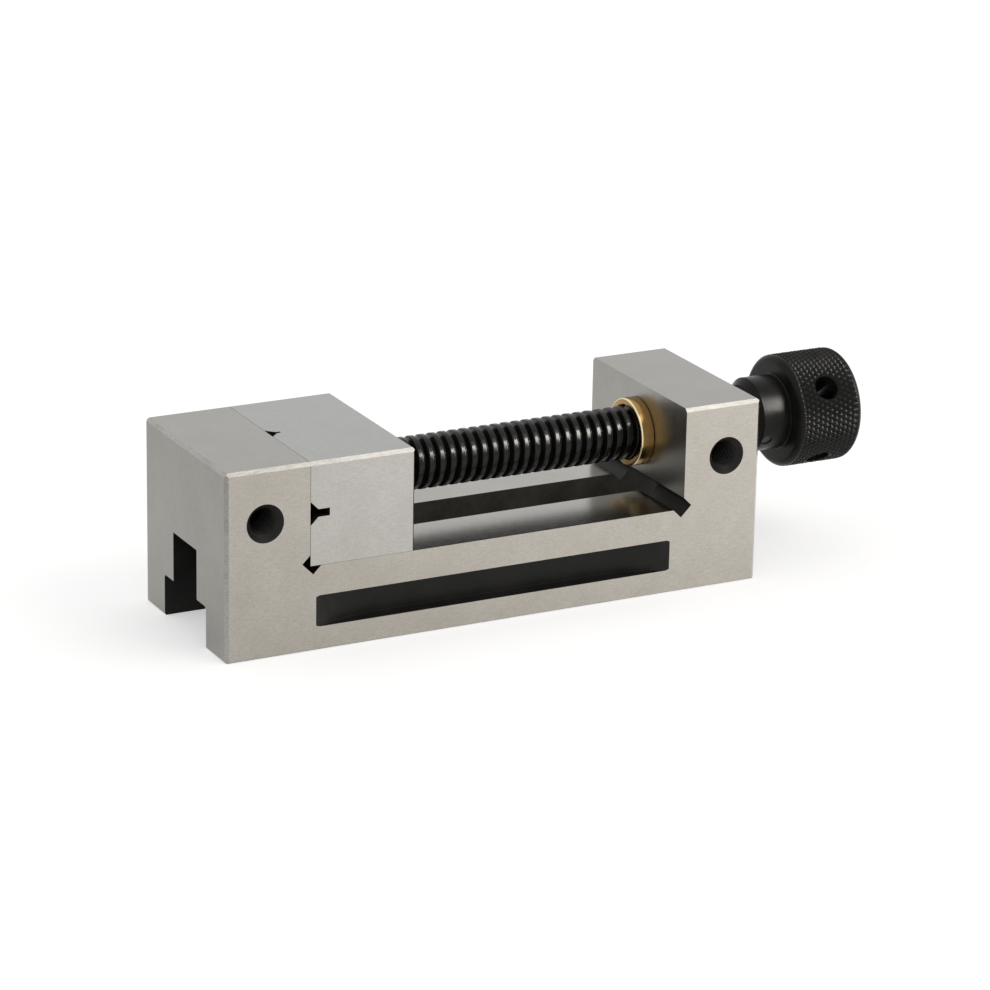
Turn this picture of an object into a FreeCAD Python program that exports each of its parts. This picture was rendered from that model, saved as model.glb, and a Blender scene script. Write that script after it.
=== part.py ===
import FreeCAD, Part
import math
import os

# Toolmakers vise: a ground steel body with a fixed jaw, a movable jaw drawn along the bed by a
# trapezoidal screw, and a turned knob with holes for a bar. All sizes are in millimetres.
# X runs from the fixed jaw's clamping face towards the knob, Y runs across from the near side to the
# far side, and Z runs up from the underside. The model shows the jaws closed.

# Body
jaw_width = 50.0
jaw_depth = 26.8
bed_height = 22.2
fixed_jaw_length = 22.7
bed_length = 105.3
rear_block_length = 22.0
outer_bevel = 0.9
edge_break = 0.4

# Slot in the bed and channel along the underside
slot_width = 14.6
slot_roof_above_bed = 1.8
channel_width = 26.0
channel_height = 11.0
channel_corner_radius = 1.0

# Relief slots, cut at 45 degrees into both inner corners of the bed
relief_width = 4.2
relief_past_corner = 1.0

# Clamping slots in the sides, milled with a disc cutter
side_slot_front_margin = 1.6
side_slot_rear_margin = 3.8
side_slot_bottom = 6.1
side_slot_height = 8.2
side_slot_depth = 3.8
cutter_radius = 53.0
cutter_corner = 0.35

# Countersunk tapped holes in the sides
side_hole_above_bed = 12.8
front_hole_inset = 10.6
rear_hole_inset = 9.9
tapped_diameter = 6.8
tapped_depth = 12.0
countersink_diameter = 10.0
drill_point_angle = 118.0

# Movable jaw
moving_jaw_length = 28.3
level_vee_above_bed = 13.6
level_vee_width = 6.2
level_vee_relief = 2.0
level_vee_depth = 5.2
upright_vee_width = 5.2
upright_vee_relief = 0.9
upright_vee_depth = 3.2
tongue_inset = 2.0
tongue_clearance = 0.15

# Keeper plate under the bed
keeper_thickness = 7.4
keeper_side_clearance = 0.3
keeper_roof_clearance = 0.1
keeper_bevel = 1.2

# Socket head screws of the keeper
keeper_screw_spacing = 13.0
screw_diameter = 5.0
screw_thread_clearance = 0.05
screw_length = 16.0
screw_head_diameter = 8.5
screw_head_height = 5.0
screw_head_clearance = 0.35
screw_shank_clearance = 0.25
screw_hole_spare = 2.0
socket_across_flats = 4.0
socket_depth = 2.5

# Lead screw with a right-hand trapezoidal thread, drawn as a plain cylinder at its crests
screw_axis_above_bed = 13.8
thread_diameter = 14.0
thread_pitch = 3.0
thread_depth = 1.75
thread_start_gap = 0.3
thread_overrun = 2.0
journal_diameter = 9.9
journal_length = 16.6
journal_clearance = 0.05
groove_distance = 10.0
groove_diameter = 6.6
groove_side_clearance = 0.15
shank_diameter = 10.0

# Thrust pad and retaining pins that hold the screw's journal in the movable jaw
pad_thickness = 3.0
pad_side_clearance = 0.1
pad_end_clearance = 0.05
pin_diameter = 2.5
pin_length = 24.0
pin_above_axis = 6.2
pin_groove_clearance = 0.06

# Nut
nut_diameter = 17.0
nut_inset = 1.0
collar_diameter = 17.9
collar_length = 3.75
collar_bevel = 0.6
nut_bore_clearance = 0.08
nut_bore_bevel = 0.35

# Knob
knob_gap = 8.8
hub_diameter = 19.8
hub_length = 9.8
hub_bevel = 1.8
knob_diameter = 30.0
knob_length = 19.4
knob_front_round = 1.8
knob_rear_round = 2.5
round_steps = 3
knob_bore_past_hub = 4.5
knob_bore_clearance = 0.02
shank_end_gap = 0.4
bar_hole_diameter = 6.5
bar_hole_distance = 9.4
bar_hole_angle = 36.5
bar_hole_bevel = 0.35
knob_pin_diameter = 2.9
knob_pin_distance = 3.2
knob_pin_angle = -29.0
knob_pin_recess = 0.35
knob_pin_clearance = 0.03

# Sizes that follow from the ones above
body_height = bed_height + jaw_depth
front_end = -fixed_jaw_length
rear_end = bed_length + rear_block_length
half_width = jaw_width / 2
keeper_top = channel_height - keeper_roof_clearance
keeper_bottom = keeper_top - keeper_thickness
tongue_width = slot_width - 2 * tongue_clearance
tongue_middle = moving_jaw_length / 2
screw_height = bed_height + screw_axis_above_bed
jaw_bore_radius = journal_diameter / 2 + journal_clearance
shoulder = moving_jaw_length + thread_start_gap
groove_middle = shoulder - groove_distance
journal_end = shoulder - journal_length
pad_end = journal_end - pad_end_clearance
jaw_bore_end = pad_end - pad_thickness
pin_offset = groove_diameter / 2 + pin_groove_clearance + pin_diameter / 2
pin_top = screw_height + pin_above_axis
collar_front = bed_length - collar_length
nut_end = rear_end - nut_inset
nut_bore_radius = thread_diameter / 2 + nut_bore_clearance
thread_turns = math.ceil((rear_end + thread_overrun - shoulder) / thread_pitch)
thread_end = shoulder + thread_turns * thread_pitch
hub_front = rear_end + knob_gap
knob_front = hub_front + hub_length
knob_end = knob_front + knob_length
knob_bore_end = knob_front + knob_bore_past_hub
shank_end = knob_bore_end - shank_end_gap
overcut = 1.0

axis_x = FreeCAD.Vector(1, 0, 0)
axis_y = FreeCAD.Vector(0, 1, 0)
axis_z = FreeCAD.Vector(0, 0, 1)
screw_axis = axis_z * screw_height


def box(x_low, x_high, y_low, y_high, z_low, z_high):
    """A box between two corners."""
    corner = FreeCAD.Vector(x_low, y_low, z_low)
    return Part.makeBox(x_high - x_low, y_high - y_low, z_high - z_low, corner)


def prism(points, direction):
    """A flat outline swept along a vector."""
    outline = Part.makePolygon(points + points[:1])
    return Part.Face(outline).extrude(direction)


def bevelled(corners, bevels):
    """The corners of an outline, each cut back along both of its edges by its own bevel."""
    points = []
    for index, corner in enumerate(corners):
        bevel = bevels[index]
        if bevel == 0:
            points.append(corner)
            continue
        for neighbour in (corners[index - 1], corners[(index + 1) % len(corners)]):
            points.append(corner + (neighbour - corner).normalize() * bevel)
    return points


def bevelled_block(low, high, plan_bevels, side_bevels, end_bevels):
    """A block whose outlines from above, from the side and from the end all have bevelled corners."""
    corners = ((0, 0), (1, 0), (1, 1), (0, 1))
    size = high - low
    plan = [low + axis_x * (size.x * a) + axis_y * (size.y * b) for a, b in corners]
    side = [low + axis_x * (size.x * a) + axis_z * (size.z * b) for a, b in corners]
    end = [low + axis_y * (size.y * a) + axis_z * (size.z * b) for a, b in corners]
    block = prism(bevelled(plan, plan_bevels), axis_z * size.z)
    block = block.common(prism(bevelled(side, side_bevels), axis_y * size.y))
    return block.common(prism(bevelled(end, end_bevels), axis_x * size.x))


def turned(profile, centre, direction):
    """A solid of revolution. The profile is a closed list of (distance along the axis, radius)."""
    points = [FreeCAD.Vector(distance, radius, 0) for distance, radius in profile]
    face = Part.Face(Part.makePolygon(points + points[:1]))
    solid = face.revolve(FreeCAD.Vector(0, 0, 0), axis_x, 360)
    solid.Placement = FreeCAD.Placement(centre, FreeCAD.Rotation(axis_x, direction))
    return solid


def hole(mouth, direction, diameter, depth):
    """A straight hole cutter that starts a little outside its mouth."""
    start = mouth - direction * overcut
    return Part.makeCylinder(diameter / 2, depth + overcut, start, direction)


def countersunk_hole(mouth, direction):
    """A drilled and countersunk hole for tapping, with the drill's point at its end."""
    radius = tapped_diameter / 2
    sink = (countersink_diameter - tapped_diameter) / 2
    point = radius / math.tan(math.radians(drill_point_angle / 2))
    profile = [
        (-overcut, 0),
        (-overcut, countersink_diameter / 2 + overcut),
        (sink, radius),
        (tapped_depth, radius),
        (tapped_depth + point, 0),
    ]
    return turned(profile, mouth, direction)


def relief_slot(corner, lean):
    """A slot at 45 degrees through an inner corner of the bed, leaning towards one end of the body."""
    along = FreeCAD.Vector(lean, 0, -1).normalize()
    across = FreeCAD.Vector(1, 0, lean).normalize() * (relief_width / 2)
    back = corner - along * relief_width
    floor = corner + along * relief_past_corner
    outline = [back - across, floor - across, floor + across, back + across]
    return prism(outline, axis_y * (jaw_width + 2 * overcut))


def side_slot(side):
    """What a disc cutter with bevelled rims removes from one side as it travels along the body."""
    reach = math.sqrt(cutter_radius ** 2 - (cutter_radius - side_slot_depth) ** 2)
    first = side_slot_front_margin + reach
    last = bed_length - side_slot_rear_margin - reach
    rim = [
        (0, 0),
        (0, cutter_radius - cutter_corner),
        (cutter_corner, cutter_radius),
        (side_slot_height - cutter_corner, cutter_radius),
        (side_slot_height, cutter_radius - cutter_corner),
        (side_slot_height, 0),
    ]
    centre = FreeCAD.Vector(first, side * (half_width + cutter_radius - side_slot_depth), side_slot_bottom)
    disc = turned(rim, centre, axis_z)
    path = prism([centre + axis_z * height - axis_y * (side * radius) for height, radius in rim],
                 axis_x * (last - first))
    return disc.fuse([path, disc.translated(axis_x * (last - first))])


def underside_channel():
    """The wide channel along the whole underside, with rounded upper corners."""
    half = channel_width / 2
    channel = box(front_end - overcut, rear_end + overcut, -half, half, -overcut, channel_height)
    upper = [edge for edge in channel.Edges
             if edge.BoundBox.ZMin > 0 and edge.BoundBox.XLength > edge.BoundBox.YLength]
    return channel.makeFillet(channel_corner_radius, upper)


def bed_slot():
    """The narrow slot along the whole body, open at the top between the jaws."""
    half = slot_width / 2
    roof = bed_height + slot_roof_above_bed
    return box(front_end - overcut, rear_end + overcut, -half, half, -overcut, roof)


def vise_body():
    """Fixed jaw, bed and rear block in one piece."""
    low = FreeCAD.Vector(front_end, -half_width, 0)
    high = FreeCAD.Vector(rear_end, half_width, body_height)
    top_and_bottom = [edge_break, edge_break, outer_bevel, outer_bevel]
    body = bevelled_block(low, high, [outer_bevel] * 4, top_and_bottom, top_and_bottom)
    wide = half_width + overcut
    cutters = [
        box(0, bed_length, -wide, wide, bed_height, body_height + overcut),
        relief_slot(FreeCAD.Vector(0, -wide, bed_height), -1),
        relief_slot(FreeCAD.Vector(bed_length, -wide, bed_height), 1),
        bed_slot(),
        underside_channel(),
        hole(screw_axis + axis_x * bed_length, axis_x, nut_diameter, rear_block_length + overcut),
    ]
    for side in (-1, 1):
        cutters.append(side_slot(side))
        for x in (front_end + front_hole_inset, rear_end - rear_hole_inset):
            mouth = FreeCAD.Vector(x, side * half_width, bed_height + side_hole_above_bed)
            cutters.append(countersunk_hole(mouth, axis_y * -side))
    return body.cut(cutters)


def vee_outline(width, relief, depth):
    """Outline of a V groove with a narrow relief at its bottom: pairs of (depth, offset)."""
    vee_end = (width - relief) / 2
    upper = [(-overcut, width / 2 + overcut), (vee_end, relief / 2), (depth, relief / 2)]
    return upper + [(inward, -offset) for inward, offset in reversed(upper)]


def keeper_screw_places():
    """Distances along the vise of the two keeper screws."""
    return [tongue_middle - keeper_screw_spacing / 2, tongue_middle + keeper_screw_spacing / 2]


def movable_jaw():
    """The movable jaw with the tongue that runs in the bed's slot."""
    low = FreeCAD.Vector(0, -half_width, bed_height)
    high = FreeCAD.Vector(moving_jaw_length, half_width, body_height)
    jaw = bevelled_block(low, high, [0, edge_break, edge_break, 0], [0, 0, edge_break, 0],
                         [0, 0, outer_bevel, outer_bevel])
    tongue = box(tongue_inset, moving_jaw_length - tongue_inset, -tongue_width / 2, tongue_width / 2,
                 keeper_top, bed_height + overcut)
    jaw = jaw.fuse(tongue).removeSplitter()
    wide = half_width + overcut
    level = [FreeCAD.Vector(inward, -wide, bed_height + level_vee_above_bed + offset)
             for inward, offset in vee_outline(level_vee_width, level_vee_relief, level_vee_depth)]
    upright = [FreeCAD.Vector(inward, offset, bed_height)
               for inward, offset in vee_outline(upright_vee_width, upright_vee_relief, upright_vee_depth)]
    bore_mouth = screw_axis + axis_x * moving_jaw_length
    cutters = [
        prism(level, axis_y * (2 * wide)),
        prism(upright, axis_z * (jaw_depth + overcut)),
        hole(bore_mouth, -axis_x, 2 * jaw_bore_radius, moving_jaw_length - jaw_bore_end),
    ]
    for side in (-1, 1):
        pin_mouth = FreeCAD.Vector(groove_middle, side * pin_offset, keeper_top)
        cutters.append(hole(pin_mouth, axis_z, pin_diameter, pin_top - keeper_top))
    tapped = screw_diameter + 2 * screw_thread_clearance
    tapped_end = keeper_bottom + screw_head_clearance + screw_head_height + screw_length + screw_hole_spare
    for x in keeper_screw_places():
        screw_mouth = FreeCAD.Vector(x, 0, keeper_top)
        cutters.append(hole(screw_mouth, axis_z, tapped, tapped_end - keeper_top))
    return jaw.cut(cutters)


def jaw_keeper():
    """Plate under the bed that the tongue is screwed to, with counterbores for the screw heads."""
    half = channel_width / 2 - keeper_side_clearance
    plate = box(tongue_inset, moving_jaw_length - tongue_inset, -half, half, keeper_bottom, keeper_top)
    upper = [edge for edge in plate.Edges
             if edge.BoundBox.ZMin > keeper_bottom and edge.BoundBox.XLength > edge.BoundBox.YLength]
    plate = plate.makeChamfer(keeper_bevel, upper)
    head_hole = screw_head_diameter + 2 * screw_head_clearance
    shank_hole = screw_diameter + 2 * screw_shank_clearance
    for x in keeper_screw_places():
        mouth = FreeCAD.Vector(x, 0, keeper_bottom)
        plate = plate.cut([
            hole(mouth, axis_z, head_hole, screw_head_clearance + screw_head_height),
            hole(mouth, axis_z, shank_hole, keeper_thickness + overcut),
        ])
    return plate


def keeper_screw(x):
    """Socket head screw that points up into the tongue."""
    low = FreeCAD.Vector(x, 0, keeper_bottom + screw_head_clearance)
    head = Part.makeCylinder(screw_head_diameter / 2, screw_head_height, low, axis_z)
    shank = Part.makeCylinder(screw_diameter / 2, screw_length, low + axis_z * screw_head_height, axis_z)
    corner_radius = socket_across_flats / 2 / math.cos(math.pi / 6)
    corners = [low + FreeCAD.Vector(corner_radius * math.cos(turn), corner_radius * math.sin(turn), -overcut)
               for turn in (side * math.pi / 3 for side in range(6))]
    socket = prism(corners, axis_z * (socket_depth + overcut))
    return head.fuse(shank).cut(socket)


def retaining_pin(side):
    """Dowel pin in the movable jaw that runs in the groove of the screw's journal."""
    low = FreeCAD.Vector(groove_middle, side * pin_offset, pin_top - pin_length)
    return Part.makeCylinder(pin_diameter / 2, pin_length, low, axis_z)


def thrust_pad():
    """Hardened disc at the bottom of the jaw's bore that takes the screw's thrust."""
    low = screw_axis + axis_x * jaw_bore_end
    return Part.makeCylinder(jaw_bore_radius - pad_side_clearance, pad_thickness, low, axis_x)


def lead_screw():
    """The screw: grooved journal in the jaw, thread, and plain shank in the knob."""
    journal = journal_diameter / 2
    groove = groove_diameter / 2
    groove_half = pin_diameter / 2 + groove_side_clearance
    crest = thread_diameter / 2
    root = crest - thread_depth
    shank = shank_diameter / 2
    profile = [
        (journal_end, 0),
        (journal_end, journal - edge_break),
        (journal_end + edge_break, journal),
        (groove_middle - groove_half, journal),
        (groove_middle - groove_half, groove),
        (groove_middle + groove_half, groove),
        (groove_middle + groove_half, journal),
        (shoulder, journal),
        (shoulder, root),
        (shoulder + thread_depth, crest),
        (thread_end - thread_depth, crest),
        (thread_end, root),
        (thread_end, shank),
        (shank_end, shank),
        (shank_end, 0),
    ]
    return turned(profile, screw_axis, axis_x).cut(knob_pin_hole())


def lead_nut():
    """Bronze bush in the rear block with a collar against the block's front face."""
    collar = collar_diameter / 2
    barrel = nut_diameter / 2
    profile = [
        (collar_front, nut_bore_radius + nut_bore_bevel),
        (collar_front, collar - collar_bevel),
        (collar_front + collar_bevel, collar),
        (bed_length, collar),
        (bed_length, barrel),
        (nut_end, barrel),
        (nut_end, nut_bore_radius),
        (collar_front + nut_bore_bevel, nut_bore_radius),
    ]
    return turned(profile, screw_axis, axis_x)


def across_knob(angle):
    """Unit vector across the knob, angle degrees above the level on the near side."""
    return FreeCAD.Vector(0, -math.cos(math.radians(angle)), math.sin(math.radians(angle)))


def knob_pin_cylinder(radius, length):
    """A cylinder along the cross pin's axis, centred on the screw's axis."""
    direction = across_knob(knob_pin_angle)
    middle = screw_axis + axis_x * (hub_front + knob_pin_distance)
    return Part.makeCylinder(radius, length, middle - direction * (length / 2), direction)


def knob_pin_hole():
    """Hole for the cross pin through the hub and the screw's shank."""
    return knob_pin_cylinder(knob_pin_diameter / 2 + knob_pin_clearance, hub_diameter + 2 * overcut)


def knob_pin():
    """Cross pin that fixes the knob on the screw, its ends a little below the hub's surface."""
    return knob_pin_cylinder(knob_pin_diameter / 2, hub_diameter - 2 * knob_pin_recess)


def bar_hole(angle):
    """Hole across the knob for a bar, with a bevel at both mouths."""
    radius = bar_hole_diameter / 2
    reach = knob_diameter / 2
    mouth = math.sqrt(reach ** 2 - radius ** 2) - bar_hole_bevel
    end = reach + overcut
    profile = [
        (-end, 0),
        (-end, radius + end - mouth),
        (-mouth, radius),
        (mouth, radius),
        (end, radius + end - mouth),
        (end, 0),
    ]
    middle = screw_axis + axis_x * (knob_front + bar_hole_distance)
    return turned(profile, middle, across_knob(angle))


def rounded_rim(centre_x, centre_radius, radius, first_angle):
    """Points of a quarter circle in the knob's profile, clockwise, as short cones when turned."""
    steps = [math.radians(first_angle - 90 * step / round_steps) for step in range(round_steps + 1)]
    return [(centre_x + radius * math.cos(a), centre_radius + radius * math.sin(a)) for a in steps]


def knob():
    """The turned knob with its hub, bored for the screw's shank and cross drilled."""
    hub = hub_diameter / 2
    rim = knob_diameter / 2
    profile = [
        (hub_front, 0),
        (hub_front, hub - hub_bevel),
        (hub_front + hub_bevel, hub),
        (knob_front, hub),
    ]
    profile += rounded_rim(knob_front + knob_front_round, rim - knob_front_round, knob_front_round, 180)
    profile += rounded_rim(knob_end - knob_rear_round, rim - knob_rear_round, knob_rear_round, 90)
    profile.append((knob_end, 0))
    bore = hole(screw_axis + axis_x * hub_front, axis_x, shank_diameter + 2 * knob_bore_clearance,
                knob_bore_end - hub_front)
    drilled = [bore, knob_pin_hole(), bar_hole(bar_hole_angle), bar_hole(bar_hole_angle - 90)]
    return turned(profile, screw_axis, axis_x).cut(drilled)


def pieces():
    """Every piece of the vise by its node name."""
    front_screw, rear_screw = keeper_screw_places()
    return {
        "vise_body": vise_body(),
        "movable_jaw": movable_jaw(),
        "jaw_keeper": jaw_keeper(),
        "keeper_screw_front": keeper_screw(front_screw),
        "keeper_screw_rear": keeper_screw(rear_screw),
        "retaining_pin_near": retaining_pin(-1),
        "retaining_pin_far": retaining_pin(1),
        "thrust_pad": thrust_pad(),
        "lead_screw": lead_screw(),
        "lead_nut": lead_nut(),
        "knob": knob(),
        "knob_pin": knob_pin(),
    }


os.makedirs("parts", exist_ok=True)
for name, shape in pieces().items():
    shape.exportStep("parts/" + name + ".step")
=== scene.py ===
import logging
import math
from contextlib import contextmanager
from dataclasses import dataclass, field
from enum import Enum, IntEnum
from typing import Any, Dict, Iterator, List, Optional, Sequence, Tuple

import bmesh
import bpy
import numpy as np
from bpy.types import Material, Mesh, Node, NodeTree, Object
from mathutils import Matrix, Vector


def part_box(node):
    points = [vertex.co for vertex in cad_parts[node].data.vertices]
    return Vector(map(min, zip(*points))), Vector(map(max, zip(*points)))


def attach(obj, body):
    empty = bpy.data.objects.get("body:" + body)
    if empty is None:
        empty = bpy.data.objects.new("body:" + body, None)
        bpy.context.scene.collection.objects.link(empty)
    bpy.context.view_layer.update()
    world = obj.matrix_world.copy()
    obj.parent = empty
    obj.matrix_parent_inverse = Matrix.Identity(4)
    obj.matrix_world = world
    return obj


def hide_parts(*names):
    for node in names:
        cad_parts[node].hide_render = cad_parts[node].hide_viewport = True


# A toolmakers vise in the frame's own place, in metres. X runs from the fixed jaw's clamping face towards
# the knob, Y from the near side to the far side, and Z up from the underside.

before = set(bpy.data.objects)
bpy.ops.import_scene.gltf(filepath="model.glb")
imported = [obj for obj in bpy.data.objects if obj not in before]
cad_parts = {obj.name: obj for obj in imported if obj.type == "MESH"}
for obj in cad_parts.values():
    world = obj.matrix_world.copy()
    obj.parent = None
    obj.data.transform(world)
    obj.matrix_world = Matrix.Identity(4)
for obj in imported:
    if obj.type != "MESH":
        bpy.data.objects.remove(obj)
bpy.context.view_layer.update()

LOG = logging.getLogger("vise")
MM = 0.001
SAME_POINT = 1e-6
SAME_PLACE = 0.01 * MM
CUTTER_SPARE = 1.0 * MM
SCREW_HEIGHT = 36.0 * MM
JAW_FACE = 0.0

# Angles from which an edge stays crisp, and the angle up to which triangles count as one flat face
BLOCK_EDGE_DEG = 25.0
NUT_EDGE_DEG = 32.0
TURNED_EDGE_DEG = 40.0
FLAT_DEG = 0.5

# Detail and roughness of the noises in the finishes, and the span that nearly all their values lie in
GRAIN = {"Detail": 2.0, "Roughness": 0.5}
STREAKS = {"Detail": 3.0, "Roughness": 0.55}
RINGS = {"Detail": 3.0, "Roughness": 0.6}
CLOUDS = {"Detail": 4.0, "Roughness": 0.6}
MOTTLE = {"Detail": 5.0, "Roughness": 0.6}
STAINS = {"Detail": 3.0, "Roughness": 0.5}
NOISE_SPAN = (0.3, 0.7)
RELIEF_HEIGHT = 0.02 * MM

# Sockets of a Mix node, whose kinds share their names
MIX_SHARE, NUMBER_A, NUMBER_B, COLOUR_A, COLOUR_B = 0, 2, 3, 6, 7
MIXED_NUMBER, MIXED_COLOUR = 0, 2

Pair = Tuple[float, float]
Triple = Tuple[float, float, float]
Colour = Tuple[float, float, float, float]
Profile = List[Pair]


class Lay(Enum):
    """Direction that a grinding wheel's streaks run in, as the axis they follow."""

    ALONG = "X"
    UPRIGHT = "Z"


class Face(IntEnum):
    """Kinds of face on the body and the movable jaw, which are also the numbers of their materials.

    The ground kinds are one steel, whose tone on each paints the light and shade that falls on it.
    """

    SIDE = 0
    TOP = 1
    END = 2
    BED = 3
    BEVEL = 4
    SLOT = 5
    BLACK = 6


def linear(hex_code: str) -> Colour:
    """Turns an sRGB hex colour into a linear one, by the standard curve.

    Args:
        hex_code: a hash and six hex digits.

    Returns:
        Red, green, blue and alpha, linear.
    """
    digits = hex_code.lstrip("#")
    parts = [int(digits[i:i + 2], 16) / 255 for i in (0, 2, 4)]
    bent = [p / 12.92 if p <= 0.04045 else ((p + 0.055) / 1.055) ** 2.4 for p in parts]
    return bent[0], bent[1], bent[2], 1.0


def grey(value: float) -> Colour:
    """A linear grey."""
    return value, value, value, 1.0


def spans(source: Pair, target: Pair) -> Dict[str, float]:
    """Settings with which a Map Range node carries one span of values over to another."""
    return {"From Min": source[0], "From Max": source[1], "To Min": target[0], "To Max": target[1]}


def add_node(tree: NodeTree, kind: str, settings: Optional[Dict[Any, Any]] = None,
             links: Optional[Dict[Any, Any]] = None) -> Node:
    """Adds a node with its settings and its incoming links.

    Args:
        tree: the tree that the node joins.
        kind: the node's type name.
        settings: properties of the node, its inputs' values by name or number, or the places and colours
            of a ramp's two stops.
        links: outputs of other nodes by the name or number of the input that takes them.

    Returns:
        The new node.
    """
    node = tree.nodes.new(kind)
    for name, value in (settings or {}).items():
        if name == "stops":
            for element, (spot, colour) in zip(node.color_ramp.elements, value):
                element.position = spot
                element.color = colour
        elif isinstance(name, str) and hasattr(node, name):
            setattr(node, name, value)
        else:
            node.inputs[name].default_value = value
    for name, output in (links or {}).items():
        tree.links.new(output, node.inputs[name])
    return node


def new_material(name: str) -> Tuple[Material, NodeTree, Dict[str, Any]]:
    """Makes an empty material.

    Args:
        name: the finish's name.

    Returns:
        The material, its tree, and the link that lays a pattern out over the piece's own place.
    """
    material = bpy.data.materials.new(name)
    material.use_nodes = True
    tree = material.node_tree
    tree.nodes.clear()
    return material, tree, {"Vector": add_node(tree, "ShaderNodeTexCoord").outputs["Object"]}


def connect_shader(tree: NodeTree, finish: "GroundSteel | BlackOxide | TurnedBronze",
                   settings: Dict[str, float], colour: Any, wear: Any, height: Any) -> None:
    """Joins a finish's patterns to its shader, with its spread of roughness and its fine relief.

    Args:
        tree: the finish's tree.
        finish: the finish.
        settings: what is the same all over the surface.
        colour: output that drives the base colour.
        wear: output of the noise that drives the roughness.
        height: output of the noise that drives the relief.
    """
    least, most = finish.roughness - finish.smoother, finish.roughness + finish.rougher
    rough = add_node(tree, "ShaderNodeMapRange", spans(NOISE_SPAN, (least, most)), {"Value": wear})
    bump = add_node(tree, "ShaderNodeBump", {"Strength": finish.relief, "Distance": RELIEF_HEIGHT},
                    {"Height": height})
    shader = add_node(tree, "ShaderNodeBsdfPrincipled", settings,
                      {"Base Color": colour, "Roughness": rough.outputs[0], "Normal": bump.outputs[0]})
    add_node(tree, "ShaderNodeOutputMaterial", links={"Surface": shader.outputs[0]})


@dataclass(frozen=True)
class GroundSteel:
    """Hardened tool steel from a surface grinder, with fine parallel streaks, oil stains and handling marks.

    The streaks give the eye a silky sheen that is drawn out across them, and the stains and the mottle keep
    a flat face from looking painted. The real streaks are a few hundredths of a millimetre wide, and these
    are drawn coarser, so that they show.
    """

    name: str
    colour: str
    dark_colour: str
    stain_colour: str
    lay: Lay = Lay.ALONG
    streak_mm: float = 0.2
    streak_length_mm: float = 2.6
    speckle_mm: float = 0.4
    speckle_share: float = 0.4
    streak_span: Pair = (0.36, 0.60)
    mottle_mm: float = 9.0
    mottle_span: Pair = (0.35, 0.7)
    mottle_tones: Pair = (0.96, 1.02)
    stain_mm: float = 24.0
    stain_span: Pair = (0.5, 0.7)
    stain_most: float = 0.25
    roughness: float = 0.24
    smoother: float = 0.04
    rougher: float = 0.05
    relief: float = 0.12

    def material(self) -> Material:
        """Builds the material.

        Returns:
            The ground steel.
        """
        material, tree, spot = new_material(self.name)
        fine, drawn = 1 / (self.streak_mm * MM), 1 / (self.streak_length_mm * MM)
        scale = [drawn if axis == self.lay.value else fine for axis in "XYZ"]
        stretched = add_node(tree, "ShaderNodeMapping", {"Scale": scale}, spot)
        streaks = add_node(tree, "ShaderNodeTexNoise", {"Scale": 1.0, **STREAKS},
                           {"Vector": stretched.outputs[0]})
        speckle, mottle, stain = (
            add_node(tree, "ShaderNodeTexNoise", {"Scale": 1 / (size * MM), **noise}, spot)
            for size, noise in ((self.speckle_mm, GRAIN), (self.mottle_mm, MOTTLE), (self.stain_mm, STAINS)))
        grain = add_node(tree, "ShaderNodeMix", {"data_type": "FLOAT", MIX_SHARE: self.speckle_share},
                         {NUMBER_A: streaks.outputs["Fac"], NUMBER_B: speckle.outputs["Fac"]})
        tones = [linear(self.dark_colour), linear(self.colour)]
        tone = add_node(tree, "ShaderNodeValToRGB", {"stops": list(zip(self.streak_span, tones))},
                        {"Fac": grain.outputs[MIXED_NUMBER]})
        mottled = add_node(tree, "ShaderNodeMapRange", spans(self.mottle_span, self.mottle_tones),
                           {"Value": mottle.outputs["Fac"]})
        toned = add_node(tree, "ShaderNodeMix",
                         {"data_type": "RGBA", "blend_type": "MULTIPLY", MIX_SHARE: 1.0},
                         {COLOUR_A: tone.outputs[0], COLOUR_B: mottled.outputs[0]})
        stained = add_node(tree, "ShaderNodeMapRange", spans(self.stain_span, (0.0, self.stain_most)),
                           {"Value": stain.outputs["Fac"]})
        tinted = add_node(tree, "ShaderNodeMix", {"data_type": "RGBA", COLOUR_B: linear(self.stain_colour)},
                          {MIX_SHARE: stained.outputs[0], COLOUR_A: toned.outputs[MIXED_COLOUR]})
        connect_shader(tree, self, {"Metallic": 1.0}, tinted.outputs[MIXED_COLOUR],
                       grain.outputs[MIXED_NUMBER], grain.outputs[MIXED_NUMBER])
        return material


@dataclass(frozen=True)
class BlackOxide:
    """Steel blackened in a hot salt bath, with a thin layer of magnetite.

    It gives the eye a deep black with an oily, satin sheen, a little browner where the layer is worn. Its
    grain is drawn coarser than the real crystals, so that it shows.
    """

    name: str
    colour: str = "#15150F"
    worn_colour: str = "#2B2A26"
    cloud_mm: float = 6.0
    grain_mm: float = 0.35
    roughness: float = 0.34
    specular: float = 0.3
    worn_span: Pair = (0.38, 0.72)
    smoother: float = 0.05
    rougher: float = 0.08
    relief: float = 0.12

    def material(self) -> Material:
        """Builds the material.

        Returns:
            The blackened steel.
        """
        material, tree, spot = new_material(self.name)
        cloud, grain = (
            add_node(tree, "ShaderNodeTexNoise", {"Scale": 1 / (size * MM), **noise}, spot)
            for size, noise in ((self.cloud_mm, CLOUDS), (self.grain_mm, GRAIN)))
        tones = [linear(self.colour), linear(self.worn_colour)]
        tone = add_node(tree, "ShaderNodeValToRGB", {"stops": list(zip(self.worn_span, tones))},
                        {"Fac": cloud.outputs["Fac"]})
        connect_shader(tree, self, {"Metallic": 0.0, "Specular IOR Level": self.specular}, tone.outputs[0],
                       cloud.outputs["Fac"], grain.outputs["Fac"])
        return material


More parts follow.
